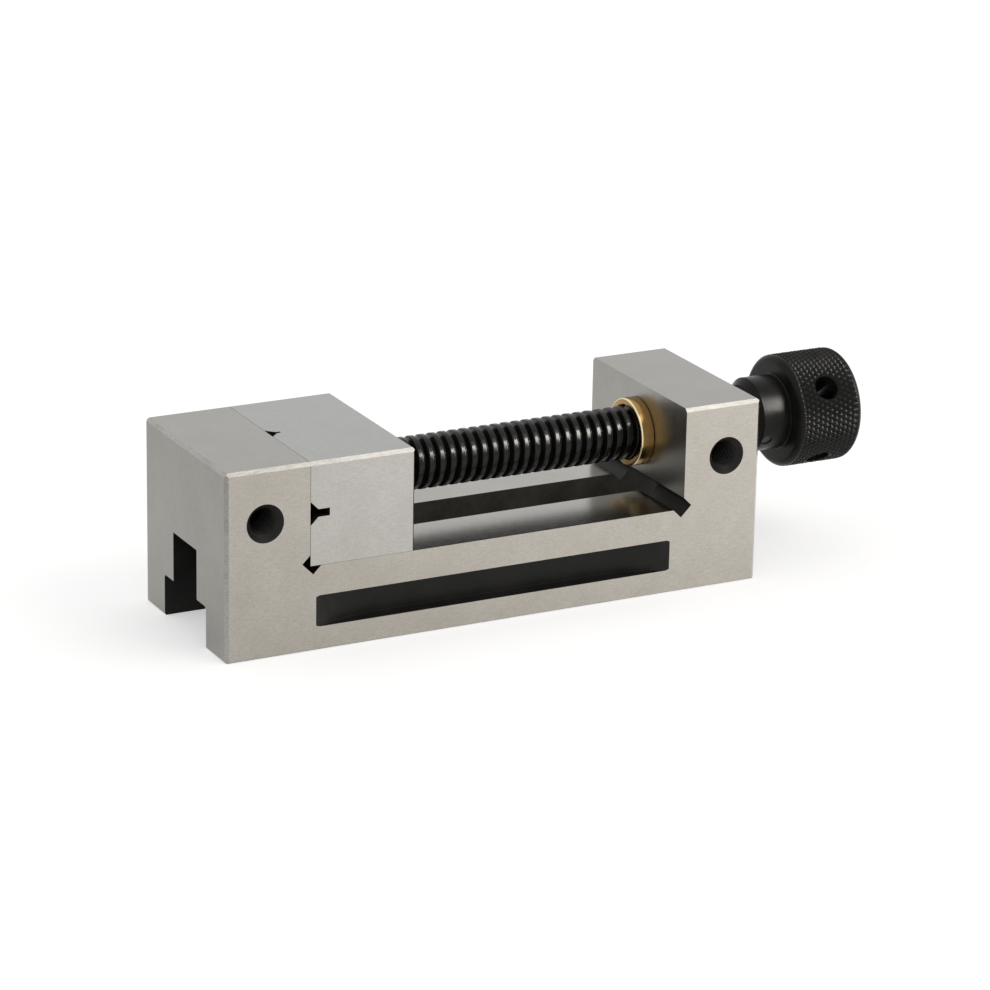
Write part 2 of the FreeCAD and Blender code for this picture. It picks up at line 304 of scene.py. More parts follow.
@dataclass(frozen=True)
class TurnedBronze:
    """Bearing bronze straight from the lathe, with fine rings round its axis.

    It gives the eye a golden metal whose reflections are sharp along it and blurred across the rings.
    """

    name: str
    colour: str
    dark_colour: str
    ring_mm: float = 0.22
    ring_length_mm: float = 6.0
    roughness: float = 0.2
    ring_span: Pair = (0.3, 0.6)
    smoother: float = 0.05
    rougher: float = 0.08
    relief: float = 0.15

    def material(self) -> Material:
        """Builds the material.

        Returns:
            The turned bronze.
        """
        material, tree, spot = new_material(self.name)
        fine, drawn = 1 / (self.ring_mm * MM), 1 / (self.ring_length_mm * MM)
        stretched = add_node(tree, "ShaderNodeMapping", {"Scale": (fine, drawn, drawn)}, spot)
        rings = add_node(tree, "ShaderNodeTexNoise", {"Scale": 1.0, **RINGS},
                         {"Vector": stretched.outputs[0]})
        tones = [linear(self.dark_colour), linear(self.colour)]
        tone = add_node(tree, "ShaderNodeValToRGB", {"stops": list(zip(self.ring_span, tones))},
                        {"Fac": rings.outputs["Fac"]})
        connect_shader(tree, self, {"Metallic": 1.0}, tone.outputs[0], rings.outputs["Fac"],
                       rings.outputs["Fac"])
        return material


def circle(segments: int) -> np.ndarray:
    """Angles of a circle's steps, without the last one, which is the first again."""
    return np.linspace(0, 2 * math.pi, segments, endpoint=False)


def around(x: np.ndarray, r: np.ndarray, t: np.ndarray, height: float = 0.0) -> np.ndarray:
    """Points round an axis along X: distance x, radius r and angle t give (x, r cos t, height + r sin t)."""
    y, z = r * np.cos(t), height + r * np.sin(t)
    return np.stack([np.broadcast_to(x, y.shape), y, z], axis=-1)


def turned(profile: np.ndarray, height: float, segments: int) -> np.ndarray:
    """Grid of a turned surface: a profile's distances and radii swept round an axis along X."""
    return around(profile[:, :1], profile[:, 1:2], circle(segments), height)


@contextmanager
def opened(mesh: Mesh) -> Iterator[bmesh.types.BMesh]:
    """Opens a mesh for work on its edges and faces, and then writes the result back.

    Args:
        mesh: the mesh to work on.

    Returns:
        The open mesh, for use in a with statement.
    """
    work = bmesh.new()
    work.from_mesh(mesh)
    yield work
    work.to_mesh(mesh)
    work.free()


def closed_grid(name: str, points: np.ndarray, crossed_from: Optional[int] = None) -> Mesh:
    """Makes a mesh from a grid of points that closes on itself along its second side.

    Args:
        name: the mesh's name.
        points: rows by columns by three, in metres. A row that lies in one point is a pole.
        crossed_from: the row that counts as even where each quad is split along one diagonal or the other
            by turns, so that lines at 45 degrees through the grid stay sharp. None keeps the quads whole.

    Returns:
        The mesh, with its doubles merged and its faces outwards.
    """
    rows, columns = points.shape[:2]
    index = np.arange(rows * columns).reshape(rows, columns)
    right = np.roll(index, -1, axis=1)
    corners = [index[:-1], index[1:], right[1:], right[:-1]]
    if crossed_from is None:
        faces = np.stack(corners, axis=-1).reshape(-1, 4)
    else:
        i, j = np.meshgrid(np.arange(rows - 1) - crossed_from, np.arange(columns), indexing="ij")
        even = ((i + j) % 2 == 0)[..., None]
        a, b, c, d = corners
        first = np.where(even, np.stack([a, b, c], axis=-1), np.stack([a, b, d], axis=-1))
        second = np.where(even, np.stack([a, c, d], axis=-1), np.stack([b, c, d], axis=-1))
        faces = np.concatenate([first, second]).reshape(-1, 3)
    mesh = bpy.data.meshes.new(name)
    mesh.from_pydata(points.reshape(-1, 3).tolist(), [], faces.tolist())
    return clean(mesh)


def open_grid(name: str, points: np.ndarray) -> Mesh:
    """Makes a mesh from a grid of points that is open on all sides.

    Args:
        name: the mesh's name.
        points: rows by columns by three, in metres.

    Returns:
        The mesh.
    """
    rows, columns = points.shape[:2]
    index = np.arange(rows * columns).reshape(rows, columns)
    corners = [index[:-1, :-1], index[1:, :-1], index[1:, 1:], index[:-1, 1:]]
    mesh = bpy.data.meshes.new(name)
    mesh.from_pydata(points.reshape(-1, 3).tolist(), [], np.stack(corners, axis=-1).reshape(-1, 4).tolist())
    return mesh


def clean(mesh: Mesh, flatten: bool = False) -> Mesh:
    """Merges a mesh's doubles and turns its faces outwards.

    Args:
        mesh: the mesh to mend.
        flatten: whether triangles that lie in one plane are joined.

    Returns:
        The same mesh.
    """
    with opened(mesh) as work:
        bmesh.ops.remove_doubles(work, verts=work.verts, dist=SAME_POINT)
        bmesh.ops.dissolve_degenerate(work, edges=work.edges, dist=SAME_POINT)
        if flatten:
            bmesh.ops.dissolve_limit(work, angle_limit=math.radians(FLAT_DEG), verts=work.verts,
                                     edges=work.edges)
        bmesh.ops.recalc_face_normals(work, faces=work.faces)
    return mesh


def join(mesh: Mesh, other: Mesh) -> None:
    """Adds another mesh's faces to a mesh.

    Args:
        mesh: the mesh that grows.
        other: the mesh that goes into it, and is then removed.
    """
    with opened(mesh) as work:
        work.from_mesh(other)
    bpy.data.meshes.remove(other)


def cut(mesh: Mesh, cutters: Sequence[Mesh]) -> Mesh:
    """Takes closed meshes out of a closed mesh, and removes them all.

    Args:
        mesh: the mesh to cut.
        cutters: what is taken away.

    Returns:
        A new mesh of the same name.
    """
    body = bpy.data.objects.new("work", mesh)
    tools = [bpy.data.objects.new("tool", cutter) for cutter in cutters]
    for thing in [body, *tools]:
        bpy.context.scene.collection.objects.link(thing)
    for tool in tools:
        step = body.modifiers.new("cut", "BOOLEAN")
        step.operation = "DIFFERENCE"
        step.solver = "EXACT"
        step.object = tool
    bpy.context.view_layer.update()
    result = bpy.data.meshes.new_from_object(body.evaluated_get(bpy.context.evaluated_depsgraph_get()))
    name = mesh.name
    for thing in [body, *tools]:
        bpy.data.objects.remove(thing)
    for used in [mesh, *cutters]:
        bpy.data.meshes.remove(used)
    result.name = name
    return result


def shade(mesh: Mesh, sharp_deg: float, flat_below: int = 0) -> Mesh:
    """Shades a mesh smooth, with crisp edges.

    Args:
        mesh: the mesh to shade.
        sharp_deg: the angle from which an edge stays crisp.
        flat_below: faces whose finish has a lower number than this stay flat.

    Returns:
        The same mesh.
    """
    mesh.shade_smooth()
    mesh.set_sharp_from_angle(angle=math.radians(sharp_deg))
    finish = np.zeros(len(mesh.polygons), dtype=np.int32)
    mesh.polygons.foreach_get("material_index", finish)
    mesh.polygons.foreach_set("use_smooth", finish >= flat_below)
    return mesh


def aim(mesh: Mesh, towards: Vector, place: Triple) -> Mesh:
    """Turns a mesh made along X to another direction, and moves it from the origin to its place.

    Args:
        mesh: the mesh to lay.
        towards: the direction that +X turns to.
        place: where its origin goes.

    Returns:
        The same mesh.
    """
    turn = Vector((1, 0, 0)).rotation_difference(towards).to_matrix().to_4x4()
    mesh.transform(Matrix.Translation(place) @ turn)
    return mesh


def add_piece(mesh: Mesh, body: str, replaces: Sequence[str],
              materials: Sequence[Material]) -> Object:
    """Puts a finished mesh into the scene as a piece of the vise.

    Args:
        mesh: the piece's mesh, in the frame's own place.
        body: the body that it rides on.
        replaces: the nodes that it stands for.
        materials: its finishes in order.

    Returns:
        The piece.
    """
    piece = bpy.data.objects.new(mesh.name, mesh)
    bpy.context.scene.collection.objects.link(piece)
    if not mesh.materials:
        for material in materials:
            mesh.materials.append(material)
    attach(piece, body)
    if replaces:
        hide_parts(*replaces)
    LOG.info("%s: %d faces on %s", piece.name, len(mesh.polygons), body)
    return piece


@dataclass
class Screw:
    """The lead screw: journal with its groove, right-hand trapezoidal thread, and shank in the knob.

    The profiles of journal and shank are distances and radii in millimetres.
    """

    finish: BlackOxide
    pitch: float = 3.0 * MM
    depth: float = 1.75 * MM
    crest_share: float = 0.45
    flank_deg: float = 15.0
    crest_round: float = 0.3 * MM
    root_round: float = 0.2 * MM
    flat_margin: float = 0.05 * MM
    start: float = 28.6 * MM
    turns: int = 34
    spare_turns: int = 2
    corner_steps: int = 4
    segments: int = 88
    journal: Profile = field(default_factory=lambda: [
        (12.0, 0.0), (12.0, 4.55), (12.4, 4.95), (17.2, 4.95), (17.2, 3.3), (20.0, 3.3), (20.0, 4.95),
        (28.6, 4.95)])
    shank: Profile = field(default_factory=lambda: [(130.6, 5.0), (150.0, 5.0), (150.0, 0.0)])

    def tooth(self) -> np.ndarray:
        """Section of one thread ridge over one pitch: a crest, two flanks and a root, its corners rounded.

        A corner's arc runs from upright to the flank's own slant, with its centre one radius under the crest
        or over the root, whose arcs have one step less. A row beside each crest's corner keeps the crest
        itself straight.

        Returns:
            Places within the pitch, as shares of it from its middle, and heights over the root.
        """
        flank = math.radians(self.flank_deg)
        half = self.crest_share * self.pitch / 2
        foot = half + self.depth * math.tan(flank)
        tangent = math.tan((math.pi / 2 - flank) / 2)
        top = np.linspace(0, math.pi / 2 - flank, self.corner_steps)
        low = np.delete(top[::-1], 1)
        crest = np.stack([half - self.crest_round * (tangent - np.sin(top)),
                          self.depth - self.crest_round * (1 - np.cos(top))], axis=-1)
        root = np.stack([foot + self.root_round * (tangent - np.sin(low)),
                         self.root_round * (1 - np.cos(low))], axis=-1)
        flat = crest[:1] - (self.flat_margin, 0)
        right = np.concatenate([flat, crest, root])
        left = right[::-1] * (-1, 1)
        return np.concatenate([left, right]) / (self.pitch, 1)

    def surface(self) -> Mesh:
        """Thread: each point of the tooth runs a helix, at x = start + pitch (turn + place - t / 2 pi).

        Rows past either end are held at the end's plane, and a 45 degree cone limits their radius there.

        Returns:
            The screw's mesh.
        """
        tooth = self.tooth()
        low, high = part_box("lead_screw")
        root = (high.z - low.z) / 2 - self.depth
        end = self.start + self.turns * self.pitch
        turn = np.arange(-self.spare_turns, self.turns + self.spare_turns)
        places = (turn[:, None] + tooth[None, :, 0]).reshape(-1, 1)
        heights = np.tile(tooth[:, 1], len(turn))[:, None]
        t = np.linspace(0, 2 * math.pi, self.segments + 1)
        x = np.clip(self.start + self.pitch * (places - t / (2 * math.pi)), self.start, end)
        r = root + np.minimum(heights, np.minimum(x - self.start, end - x))
        mesh = open_grid("threaded_screw", around(x, r, t, SCREW_HEIGHT))
        for profile in (self.journal + [(self.start / MM, root / MM)], [(end / MM, root / MM)] + self.shank):
            plain = turned(np.array(profile) * MM, SCREW_HEIGHT, self.segments)
            join(mesh, closed_grid("plain_end", plain))
        return clean(mesh)

    def build(self) -> Object:
        """Builds and dresses the screw."""
        return add_piece(shade(self.surface(), TURNED_EDGE_DEG), "spindle", ["lead_screw"],
                         [self.finish.material()])


@dataclass
class Knob:
    """The knob: smooth hub, rounded front rim, diamond knurl, rounded rear rim, and two crossed bar holes."""

    finish: BlackOxide
    hub_front: float = 136.1 * MM
    hub_radius: float = 9.9 * MM
    hub_bevel: float = 1.8 * MM
    base_lip: float = 0.25 * MM
    front: float = 145.9 * MM
    end: float = 165.3 * MM
    radius: float = 15.0 * MM
    front_round: float = 1.8 * MM
    rear_round: float = 2.5 * MM
    round_steps: int = 8
    bore_radius: float = 5.02 * MM
    bore_end: float = 150.4 * MM
    bar_place: float = 155.3 * MM
    bar_radius: float = 3.25 * MM
    bar_bevel: float = 0.35 * MM
    bar_angles: Pair = (36.5, -53.5)
    bar_segments: int = 64
    pin_place: float = 139.3 * MM
    pin_radius: float = 1.48 * MM
    pin_angle: float = -29.0
    pin_segments: int = 32
    knurl_start: float = 147.1 * MM
    knurl_end: float = 163.9 * MM
    knurl_depth: float = 0.46 * MM
    knurl_fade: float = 0.45 * MM
    tip_share: float = 0.4
    diamonds: int = 58
    diamond_angle: float = 30.0
    fineness: int = 8

    def rim_radius(self, x: np.ndarray) -> np.ndarray:
        """Radius of the knob's rim: its own radius less the sagitta of the round that a place lies in.

        Args:
            x: distances along the vise.

        Returns:
            Radii at those distances.
        """
        into_front = np.clip(self.front + self.front_round - x, 0, self.front_round)
        into_rear = np.clip(x - self.end + self.rear_round, 0, self.rear_round)
        front_drop = self.front_round - np.sqrt(self.front_round ** 2 - into_front ** 2)
        rear_drop = self.rear_round - np.sqrt(self.rear_round ** 2 - into_rear ** 2)
        return self.radius - front_drop - rear_drop

    def knurl_rows(self) -> Tuple[np.ndarray, np.ndarray]:
        """Rows of the knurled band, with points that stand on every ridge and groove of its diamonds.

        Counted in steps of a diamond, a point (i, j) is the share a = max(tri(i + j), tri(i - j)) away
        from its diamond's tip, where tri goes from 0 at a tip to 1 at a groove. Its height over the groove is
        (sqrt(1 + e e) - sqrt(a a + e e)) / (sqrt(1 + e e) - e), a tip rounded by the share e.

        Returns:
            Distances of the rows, and rows by columns of depths below the rim's radius.
        """
        along = 2 * math.pi * self.radius / self.diamonds / math.tan(math.radians(self.diamond_angle))
        step = along / self.fineness
        count = int((self.knurl_end - self.knurl_start) / step)
        i, j = np.meshgrid(np.arange(count + 1), np.arange(self.diamonds * self.fineness), indexing="ij")
        half = self.fineness / 2
        away = np.maximum(1 - np.abs((i + j) % self.fineness / half - 1),
                          1 - np.abs((i - j) % self.fineness / half - 1))
        whole = math.hypot(1, self.tip_share)
        rise = (whole - np.hypot(away, self.tip_share)) / (whole - self.tip_share)
        fade = np.clip(np.minimum(i, count - i) * step / self.knurl_fade, 0, 1)
        return self.knurl_start + np.arange(count + 1) * step, self.knurl_depth * (1 - rise) * fade

    def surface(self) -> Mesh:
        """Knob: a profile swept round the axis, with the knurled band's depths taken off its radius.

        Returns:
            The knob's mesh, with its holes.
        """
        segments = self.diamonds * self.fineness
        knurl_x, depth = self.knurl_rows()
        face = np.array([(self.bore_end, 0.0), (self.bore_end, self.bore_radius),
                         (self.hub_front, self.bore_radius),
                         (self.hub_front, self.hub_radius - self.hub_bevel),
                         (self.hub_front + self.hub_bevel, self.hub_radius),
                         (self.front - self.base_lip, self.hub_radius),
                         (self.front, self.hub_radius + self.base_lip)])
        bend = np.linspace(0, math.pi / 2, self.round_steps + 1)
        front_x = self.front + (knurl_x[0] - self.front) * (1 - np.cos(bend))[:-1]
        rear_x = self.end - (self.end - knurl_x[-1]) * (1 - np.sin(bend))[1:]
        x = np.concatenate([front_x, knurl_x, rear_x])
        rim = np.stack([x, self.rim_radius(x)], axis=-1)
        profile = np.concatenate([face, rim, [(self.end, 0.0)]])
        first = len(face) + len(front_x)
        profile_depth = np.zeros((len(profile), segments))
        profile_depth[first:first + len(knurl_x)] = depth
        r = np.maximum(profile[:, 1:2] - profile_depth, 0)
        grid = around(profile[:, :1], r, circle(segments), SCREW_HEIGHT)
        mesh = closed_grid("knurled_knob", grid, crossed_from=first)
        return cut(mesh, [self.bar_cutter(angle) for angle in self.bar_angles] + [self.pin_cutter()])

    def bar_cutter(self, angle_deg: float) -> Mesh:
        """A cutter for one bar hole, flared at both mouths.

        Args:
            angle_deg: the near mouth's angle above the level.

        Returns:
            The cutter's mesh.
        """
        mouth = math.sqrt(self.radius ** 2 - self.bar_radius ** 2) - self.bar_bevel
        reach = self.radius + CUTTER_SPARE
        wide = self.bar_radius + reach - mouth
        profile = [(-reach, 0.0), (-reach, wide), (-mouth, self.bar_radius), (mouth, self.bar_radius),
                   (reach, wide), (reach, 0.0)]
        return self.across(profile, self.bar_segments, angle_deg, self.bar_place)

    def pin_cutter(self) -> Mesh:
        """A cutter for the cross pin's hole.

        Returns:
            The cutter's mesh.
        """
        reach = self.hub_radius + CUTTER_SPARE
        profile = [(-reach, 0.0), (-reach, self.pin_radius), (reach, self.pin_radius), (reach, 0.0)]
        return self.across(profile, self.pin_segments, self.pin_angle, self.pin_place)

    def across(self, profile: Profile, segments: int, angle_deg: float, place_x: float) -> Mesh:
        """A turned cutter that lies across the knob.

        Args:
            profile: distances from the knob's axis, which grow towards the near side, and radii.
            segments: steps round the cutter.
            angle_deg: angle above the level on the near side.
            place_x: distance along the vise.

        Returns:
            The cutter's mesh.
        """
        angle = math.radians(angle_deg)
        towards = Vector((0, -math.cos(angle), math.sin(angle)))
        mesh = closed_grid("cutter", turned(np.array(profile), 0.0, segments))
        return aim(mesh, towards, (place_x, 0, SCREW_HEIGHT))

    def build(self) -> Object:
        """Builds and dresses the knob."""
        return add_piece(shade(self.surface(), TURNED_EDGE_DEG), "spindle", ["knob"],
                         [self.finish.material()])


@dataclass
class Nut:
    """The bronze nut: a bush with a bevelled collar and a plain bore.

    Its profile is distances and radii in millimetres.
    """

    finish: TurnedBronze
    rim_highlight_finish: TurnedBronze
    rim_radius: float = 8.55 * MM
    rim_end: float = 102.0 * MM
    segments: int = 160
    profile: Profile = field(default_factory=lambda: [
        (101.9, 7.08), (101.55, 7.43), (101.55, 8.6), (101.62, 8.78), (101.76, 8.9), (101.95, 8.95),
        (105.05, 8.95), (105.3, 8.7), (105.3, 8.5), (126.3, 8.5), (126.3, 7.08), (101.9, 7.08)])

    def surface(self) -> Mesh:
        """A closed ring: the profile swept round the screw's axis, with its front rim in the second finish,
        a pale bronze that paints the rim's highlight.

        Returns:
            The nut's mesh.
        """
        mesh = closed_grid("turned_nut", turned(np.array(self.profile) * MM, SCREW_HEIGHT, self.segments))
        centre = np.zeros(len(mesh.polygons) * 3)
        mesh.polygons.foreach_get("center", centre)
        x, y, z = centre.reshape(-1, 3).T
        # The front rim's faces take the pale bronze: a painted highlight along the collar's edge
        rim = (np.hypot(y, z - SCREW_HEIGHT) > self.rim_radius) & (x < self.rim_end)
        mesh.polygons.foreach_set("material_index", rim.astype(np.int32))
        return mesh

    def build(self) -> Object:
        """Builds and dresses the nut."""
        return add_piece(shade(self.surface(), NUT_EDGE_DEG), "base", ["lead_nut"],
                         [self.finish.material(), self.rim_highlight_finish.material()])


@dataclass
class SideThreads:
    """The tapped threads of the four side holes, as rings let into the body behind the countersinks."""

    places: Pair = (-12.1 * MM, 117.4 * MM)
    half_width: float = 25.0 * MM
    height: float = 35.0 * MM
    minor: float = 3.4 * MM
    groove: float = 0.55 * MM
    pitch: float = 1.25 * MM
    wave_slope: float = 3.2
    wave_drop: float = 0.3
    sink_radius: float = 5.0 * MM
    ring_radius: float = 4.15 * MM
    end: float = 11.6 * MM
    clearance: float = 0.05 * MM
    steps: int = 10
    segments: int = 48

    def lay(self, mesh: Mesh, place_x: float, side: int) -> Mesh:
        """Lays a mesh made along X from its mouth in a hole of the near side, -1, or of the far side, 1."""
        return aim(mesh, Vector((0, -side, 0)), (place_x, side * self.half_width, self.height))

    def ring(self) -> Mesh:
        """Threaded ring: at depth d and angle t its bore is the larger of the countersink and the thread.

        The countersink's cone is the sink's radius less d. The thread is the minor radius plus the groove's
        depth times a trapezium wave of d / pitch - t / 2 pi, which fades out over the last pitch.

        Returns:
            A closed ring along X with its mouth's plane at zero.
        """
        start = self.sink_radius - self.ring_radius
        count = int(round((self.end - start) / self.pitch * self.steps))
        d = np.linspace(start, self.end, count + 1)[:, None]
        t = circle(self.segments)[None, :]
        phase = d / self.pitch - t / (2 * math.pi)
        wave = np.clip(self.wave_slope * np.abs((phase % 1.0) - 0.5) - self.wave_drop, 0, 1)
        fade = np.clip((self.end - d) / self.pitch, 0, 1)
        bore = np.maximum(self.sink_radius - d, self.minor + self.groove * wave * fade)
        bore[0] = self.ring_radius
        outside = np.full((2, self.segments), self.ring_radius)
        x = np.concatenate([d, [[self.end], [start]]])
        return closed_grid("side_threads", around(x, np.concatenate([bore, outside]), t))

    def cutters(self) -> List[Mesh]:
        """Plain cylinders that make room for the rings in the body.

        Returns:
            One cutter for each hole.
        """
        start = self.sink_radius - self.ring_radius - self.clearance
        profile = [(start, 0.0), (start, self.ring_radius), (self.end, self.ring_radius), (self.end, 0.0)]
        return [self.lay(closed_grid("room", turned(np.array(profile), 0.0, self.segments)), x, side)
                for x in self.places for side in (-1, 1)]

    def build(self, finish: Material) -> Object:
        """Builds all four rings as one piece, and dresses it.

        Args:
            finish: the recesses' finish.

        Returns:
            The piece.
        """
        mesh, *others = [self.lay(self.ring(), x, side) for x in self.places for side in (-1, 1)]
        for other in others:
            join(mesh, other)
        shade(mesh, TURNED_EDGE_DEG)
        return add_piece(mesh, "base", (), [finish])


@dataclass
class BlockFaces:
    """Sorts the faces of the body and the movable jaw into ground ones and blackened ones, and each ground
    face by how it faces, so that its tone can paint the light and shade that falls on it.

    A face is square to an axis where its normal's part along it is over square, and slanted where just two
    parts are over slant. A slanted face is a bevel where it lies along an edge of the block's own box.
    """

    low: Triple
    high: Triple
    bed: float = 22.2 * MM
    block_face: float = 105.3 * MM
    bevel: float = 0.95 * MM
    slot_half: float = 7.3 * MM
    square: float = 0.99
    slant: float = 0.6

    def kinds(self, mesh: Mesh) -> np.ndarray:
        """Finds each face's kind from its middle and its normal.

        Args:
            mesh: the block's mesh.

        Returns:
            One number of Face for each face.
        """
        count = len(mesh.polygons)
        centre, normal = np.zeros(count * 3), np.zeros(count * 3)
        mesh.polygons.foreach_get("center", centre)
        mesh.polygons.foreach_get("normal", normal)
        centre, normal = centre.reshape(-1, 3), normal.reshape(-1, 3)
        x, y, z = centre.T
        away = np.minimum(np.abs(centre - np.array(self.low)), np.abs(centre - np.array(self.high)))
        square = np.abs(normal) > self.square
        on_box = (away < SAME_PLACE) & square
        bed_top = (normal[:, 2] > self.square) & (np.abs(z - self.bed) < SAME_PLACE)
        from_jaws = np.minimum(np.abs(x - JAW_FACE), np.abs(x - self.block_face))
        inner = square[:, 0] & (z > self.bed) & (from_jaws < SAME_PLACE)
        slanted = np.sum(np.abs(normal) > self.slant, axis=1) == 2
        slot_wall = square[:, 1] & (np.abs(np.abs(y) - self.slot_half) < SAME_PLACE)
        result = np.full(count, int(Face.BLACK))
        # Walls of the slot under the open bed take a lighter tone: painted light where light falls in from
        # above
        result[slot_wall & (z < self.bed) & (x > JAW_FACE)] = Face.SLOT
        result[slanted & (np.sum(away < self.bevel, axis=1) >= 2)] = Face.BEVEL
        result[on_box[:, 1]] = Face.SIDE
        result[on_box[:, 2]] = Face.TOP
        result[bed_top] = Face.BED
        result[on_box[:, 0] | inner] = Face.END
        return result


@dataclass
class Block:
    """A ground block taken from its own node, with its seams broken and each face in its own material.

    The ground faces' tones paint the light and shade that falls on each of them.
    """

    node: str
    name: str
    body: str
    seam_break: float = 0.05 * MM
    least_corner_deg: float = 60.0
    foot_below: float = 30.0 * MM

    def build(self, finishes: Sequence[Material], cutters: Sequence[Mesh] = ()) -> Object:
        """Copies the node's mesh, joins its flat triangles and gives each face the tone that paints its
        light.

        Args:
            finishes: one for each kind of Face, in its order.
            cutters: what is taken out of the block first.

        Returns:
            The piece.
        """
        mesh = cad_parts[self.node].data.copy()
        mesh.name = self.name
        mesh.materials.clear()
        clean(mesh, flatten=True)
        if cutters:
            mesh = cut(mesh, cutters)
        # The slot's walls are cut at the fixed jaw's face, where their painted light ends: under the open bed
        # they are the blackened recess painted lighter, under the fixed jaw they stay black
        with opened(mesh) as work:
            bmesh.ops.bisect_plane(work, geom=work.verts[:] + work.edges[:] + work.faces[:],
                                   dist=SAME_POINT, plane_co=(JAW_FACE, 0, 0), plane_no=(1, 0, 0))
        low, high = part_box(self.node)
        kinds = BlockFaces(tuple(low), tuple(high)).kinds(mesh)
        for finish in finishes:
            mesh.materials.append(finish)
        mesh.polygons.foreach_set("material_index", kinds.astype(np.int32))
        self.break_seams(mesh)
        shade(mesh, BLOCK_EDGE_DEG, int(Face.BLACK))
        return add_piece(mesh, self.body, [self.node], finishes)

    def is_seam(self, edge: bmesh.types.BMEdge) -> bool:
        """Whether an edge is a square one where the jaws meet, or where the movable jaw rides the bed.

        Args:
            edge: an edge of the block, with its finishes set.

        Returns:
            True for an edge that gets a break.
        """
        if len(edge.link_faces) != 2 or not edge.is_convex:
            return False
        if edge.calc_face_angle() < math.radians(self.least_corner_deg):
            return False
        kinds = [face.material_index for face in edge.link_faces]
        ground = all(kind in (Face.SIDE, Face.TOP, Face.END) for kind in kinds)
        at_jaws = all(abs(vert.co.x - JAW_FACE) < SAME_PLACE for vert in edge.verts)
        at_foot = self.body == "jaw" and Face.SIDE in kinds and edge.verts[0].co.z < self.foot_below
        return at_foot or (at_jaws and ground)

    def break_seams(self, mesh: Mesh) -> None:
        """Cuts a fine 45 degree break on the block's seam edges, which shows as a thin dark line.

        Args:
            mesh: the block's mesh, with its finishes set.
        """
        with opened(mesh) as work:
            edges = [edge for edge in work.edges if self.is_seam(edge)]
            bmesh.ops.bevel(work, geom=edges, offset=self.seam_break, offset_type="OFFSET", segments=1,
                            affect="EDGES", clamp_overlap=True, material=int(Face.BLACK))
        LOG.info("%s: %d seam edges broken", self.name, len(edges))


def direction(azimuth_deg: float, elevation_deg: float) -> Vector:
    """Unit vector away from the vise, at an azimuth that is 0 in front and positive towards the knob."""
    az, el = math.radians(azimuth_deg), math.radians(elevation_deg)
    return Vector((math.sin(az) * math.cos(el), -math.cos(az) * math.cos(el), math.sin(el)))


@dataclass(frozen=True)
class Lamp:
    """A soft rectangular lamp that faces the vise. Distance and size are in metres, power is in watts."""

    name: str
    azimuth_deg: float
    elevation_deg: float
    far: float
    size: Pair
    power: float
    colour: str

    def hang(self, target: Vector, highlights_on: Sequence[Object] = ()) -> None:
        """Hangs the lamp.

        Args:
            target: the place that it faces.
            highlights_on: pieces that it gives a highlight, if it lights nothing else and no matt surface.
        """
        data = bpy.data.lights.new(self.name, "AREA")
        data.shape = "RECTANGLE"
        data.size, data.size_y = self.size
        data.energy = self.power
        data.color = linear(self.colour)[:3]
        lamp = bpy.data.objects.new(self.name, data)
        if highlights_on:
            lamp.visible_diffuse = False
            lamp.light_linking.receiver_collection = bpy.data.collections.new(self.name)
            for piece in highlights_on:
                lamp.light_linking.receiver_collection.objects.link(piece)
        away = direction(self.azimuth_deg, self.elevation_deg)
        lamp.location = target + away * self.far
        lamp.rotation_euler = away.to_track_quat("Z", "Y").to_euler()
        bpy.context.scene.collection.objects.link(lamp)


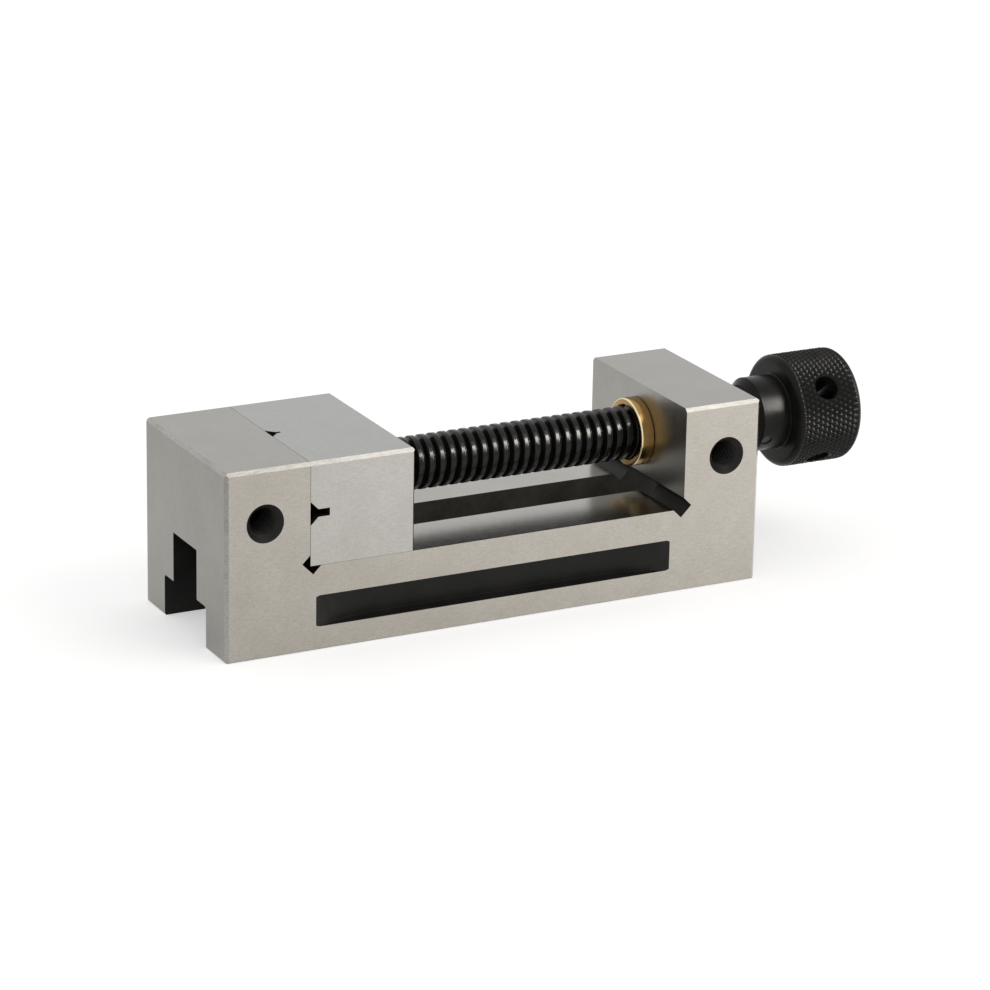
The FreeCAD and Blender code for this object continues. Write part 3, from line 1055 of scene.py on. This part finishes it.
@dataclass
class Studio:
    """Pale floor, soft lamps and the camera of the photograph."""

    azimuth_deg: float = -27.598
    elevation_deg: float = 18.909
    roll_deg: float = 1.137
    distance: float = 1057.26 * MM
    shift_right: float = -10.132 * MM
    shift_up: float = -0.549 * MM
    target: Triple = (52.3 * MM, 0.0, 25.0 * MM)
    focal_pixels: float = 4137.83
    image_width: int = 990
    sensor_width_mm: float = 36.0
    clip_start: float = 0.05
    floor_reach: float = 6.0
    floor_white: float = 0.86
    floor_glow: float = 0.45
    sweep_places: Pair = (-0.15, 0.2)
    sweep_glow: Pair = (0.17, 0.67)
    world_light: float = 0.62
    highlight: Lamp = Lamp("highlight", 42, 31, 0.9, (0.28, 0.5), 14.0, "#FFFBF2")
    soft_key: Lamp = Lamp("soft_key", 40, 50, 1.2, (0.7, 0.5), 2.0, "#FFFAF2")

    def camera(self) -> None:
        """Places the camera at the photograph's viewpoint."""
        back = direction(self.azimuth_deg, self.elevation_deg)
        right = Vector((0, 0, 1)).cross(back).normalized()
        up = back.cross(right)
        roll = math.radians(self.roll_deg)
        side = math.cos(roll) * right + math.sin(roll) * up
        top = -math.sin(roll) * right + math.cos(roll) * up
        spot = Vector(self.target) + back * self.distance - side * self.shift_right - top * self.shift_up
        data = bpy.data.cameras.new("camera")
        data.sensor_width = self.sensor_width_mm
        data.lens = self.focal_pixels / self.image_width * self.sensor_width_mm
        data.clip_start = self.clip_start
        camera = bpy.data.objects.new("camera", data)
        turn = Matrix((side, top, back)).transposed().to_4x4()
        camera.matrix_world = Matrix.Translation(spot) @ turn
        bpy.context.scene.collection.objects.link(camera)
        bpy.context.scene.camera = camera

    def floor(self, level: float) -> None:
        """Lays the pale floor that the vise stands on.

        To the camera it glows a little, so that it is near white and keeps the shadow. In reflections it is a
        sweep that is brighter towards the knob, which gives the sides their gradient.

        Args:
            level: its height.
        """
        mesh = bpy.data.meshes.new("floor")
        reach = self.floor_reach
        corners = [(x * reach, y * reach, level) for x, y in ((-1, -1), (1, -1), (1, 1), (-1, 1))]
        mesh.from_pydata(corners, [], [(0, 1, 2, 3)])
        material, tree, spot = new_material("pale_floor")
        rays = add_node(tree, "ShaderNodeLightPath").outputs
        along = add_node(tree, "ShaderNodeSeparateXYZ", links=spot)
        sweep = add_node(tree, "ShaderNodeMapRange", spans(self.sweep_places, self.sweep_glow),
                         {"Value": along.outputs["X"]})
        mirrored = add_node(tree, "ShaderNodeMath", {"operation": "MULTIPLY"},
                            {0: rays["Is Glossy Ray"], 1: sweep.outputs[0]})
        seen = add_node(tree, "ShaderNodeMath", {"operation": "MAXIMUM"},
                        {0: rays["Is Camera Ray"], 1: rays["Is Transmission Ray"]})
        strength = add_node(tree, "ShaderNodeMath", {"operation": "MULTIPLY_ADD", 1: self.floor_glow},
                            {0: seen.outputs[0], 2: mirrored.outputs[0]})
        paper = add_node(tree, "ShaderNodeBsdfDiffuse", {"Color": grey(self.floor_white)})
        glow = add_node(tree, "ShaderNodeEmission", {"Color": grey(1.0)}, {"Strength": strength.outputs[0]})
        both = add_node(tree, "ShaderNodeAddShader", links={0: paper.outputs[0], 1: glow.outputs[0]})
        add_node(tree, "ShaderNodeOutputMaterial", links={"Surface": both.outputs[0]})
        mesh.materials.append(material)
        floor = bpy.data.objects.new("floor", mesh)
        bpy.context.scene.collection.objects.link(floor)

    def world(self) -> None:
        """Sets a white surround for the camera and reflections, and a softer one for the light it gives."""
        world = bpy.data.worlds.new("surround")
        world.use_nodes = True
        tree = world.node_tree
        tree.nodes.clear()
        rays = add_node(tree, "ShaderNodeLightPath").outputs
        seen = rays["Is Camera Ray"]
        for kind in ("Is Glossy Ray", "Is Transmission Ray"):
            larger = add_node(tree, "ShaderNodeMath", {"operation": "MAXIMUM"}, {0: seen, 1: rays[kind]})
            seen = larger.outputs[0]
        strength = add_node(tree, "ShaderNodeMapRange", spans((0.0, 1.0), (self.world_light, 1.0)),
                            {"Value": seen})
        background = add_node(tree, "ShaderNodeBackground", {"Color": grey(1.0)},
                              {"Strength": strength.outputs[0]})
        add_node(tree, "ShaderNodeOutputWorld", links={"Surface": background.outputs[0]})
        bpy.context.scene.world = world

    def build(self, floor_level: float, shiny: Sequence[Object]) -> None:
        """Builds the whole studio.

        Args:
            floor_level: height of the floor.
            shiny: the turned pieces, which have highlights of their own.
        """
        self.world()
        self.floor(floor_level)
        self.highlight.hang(Vector(self.target), highlights_on=shiny)
        self.soft_key.hang(Vector(self.target))
        self.camera()


@dataclass
class Vise:
    """The whole vise: its finishes, and what builds its sub-assemblies from them."""

    # The ground steel's colours differ from face to face as painted light and shade: the sides lighter, the
    # tops, bed and ends darker and the bevels between, for how the light falls on each. Their lays,
    # roughness, relief and stains are the steel's own; the jaw's steel is a little lighter.
    side: GroundSteel = GroundSteel("ground_steel_side_painted_light", "#B6B1A9", "#A8A39A", "#A39B8D")
    top: GroundSteel = GroundSteel("ground_steel_top_painted_shade", "#9F9D98", "#93918B", "#8F8B82", roughness=0.3,
                                   relief=0.07)
    bed: GroundSteel = GroundSteel("ground_steel_bed_painted_shade", "#A4A29C", "#97958F", "#918E86", roughness=0.2,
                                   relief=0.02)
    end: GroundSteel = GroundSteel("ground_steel_end_painted_shade", "#A3A19B", "#96948E", "#8D8981", Lay.UPRIGHT,
                                   roughness=0.33)
    jaw_side: GroundSteel = GroundSteel("ground_steel_jaw_side_painted_light", "#BBB8B3", "#ADAAA5", "#A7A299")
    jaw_top: GroundSteel = GroundSteel("ground_steel_jaw_top_painted_shade", "#A2A29F", "#959592", "#918F8A", relief=0.07)
    bevel: GroundSteel = GroundSteel("ground_steel_bevel_painted_light", "#AEACA8", "#918F8B", "#8A857C", stain_mm=4.0,
                                     stain_most=0.35, roughness=0.2)
    keeper: GroundSteel = GroundSteel("ground_steel_keeper", "#A9A69F", "#8F8C86", "#857E70")
    recess: BlackOxide = BlackOxide("black_oxide_recess", "#181816", "#262522", cloud_mm=9.0, grain_mm=0.5,
                                    roughness=0.42, specular=0.2)
    # The slot's walls are blackened like the recess, drawn lighter under the open bed as painted light
    slot: BlackOxide = BlackOxide("slot_wall_painted_light", "#4C4B45", "#65635B", cloud_mm=7.0, grain_mm=0.5,
                                  roughness=0.45, specular=0.35)
    screw: BlackOxide = BlackOxide("black_oxide_screw", "#0E0E0C", "#191815", cloud_mm=2.5, grain_mm=0.3,
                                   roughness=0.15, specular=0.22)
    knob: BlackOxide = BlackOxide("black_oxide_knob", "#161615", "#21201E", cloud_mm=5.0, grain_mm=0.3,
                                  roughness=0.3, specular=0.11)
    fasteners: BlackOxide = BlackOxide("black_oxide_screws")
    bronze: TurnedBronze = TurnedBronze("turned_bronze", "#A68553", "#927243")
    # The collar's front rim is the same turned bronze, painted pale as its highlight
    bronze_rim: TurnedBronze = TurnedBronze("bronze_rim_painted_highlight", "#EBDDB9", "#D9C491", roughness=0.16)

    def blocks(self) -> None:
        """Builds the body with its side threads, and the movable jaw."""
        side, top, end, bed, jaw_side, jaw_top, bevel, slot, recess = (
            finish.material() for finish in (self.side, self.top, self.end, self.bed, self.jaw_side,
                                             self.jaw_top, self.bevel, self.slot, self.recess))
        threads = SideThreads()
        body = Block("vise_body", "ground_body", "base")
        body.build((side, top, end, bed, bevel, slot, recess), threads.cutters())
        jaw = Block("movable_jaw", "ground_jaw", "jaw")
        jaw.build((jaw_side, jaw_top, end, bed, bevel, slot, recess))
        threads.build(recess)

    def turned_pieces(self) -> List[Object]:
        """Builds the screw, the nut and the knob."""
        return [Screw(self.screw).build(), Nut(self.bronze, self.bronze_rim).build(), Knob(self.knob).build()]

    def small_pieces(self) -> None:
        """Dresses the nodes whose own shape is right: keeper, thrust pad, screws and pins."""
        steel_nodes = ("jaw_keeper", "retaining_pin_near", "retaining_pin_far", "thrust_pad")
        black_nodes = ("keeper_screw_front", "keeper_screw_rear", "knob_pin")
        for finish, nodes in ((self.keeper, steel_nodes), (self.fasteners, black_nodes)):
            material = finish.material()
            for node in nodes:
                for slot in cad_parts[node].material_slots:
                    slot.material = material
                LOG.info("%s: dressed", node)


def main() -> None:
    """Builds the vise and its studio."""
    logging.basicConfig(level=logging.INFO, format="%(name)s: %(message)s")
    bpy.context.scene.view_settings.view_transform = "Standard"
    vise = Vise()
    vise.blocks()
    shiny = vise.turned_pieces()
    vise.small_pieces()
    Studio().build(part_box("vise_body")[0].z, shiny)


if __name__ == "__main__":
    main()
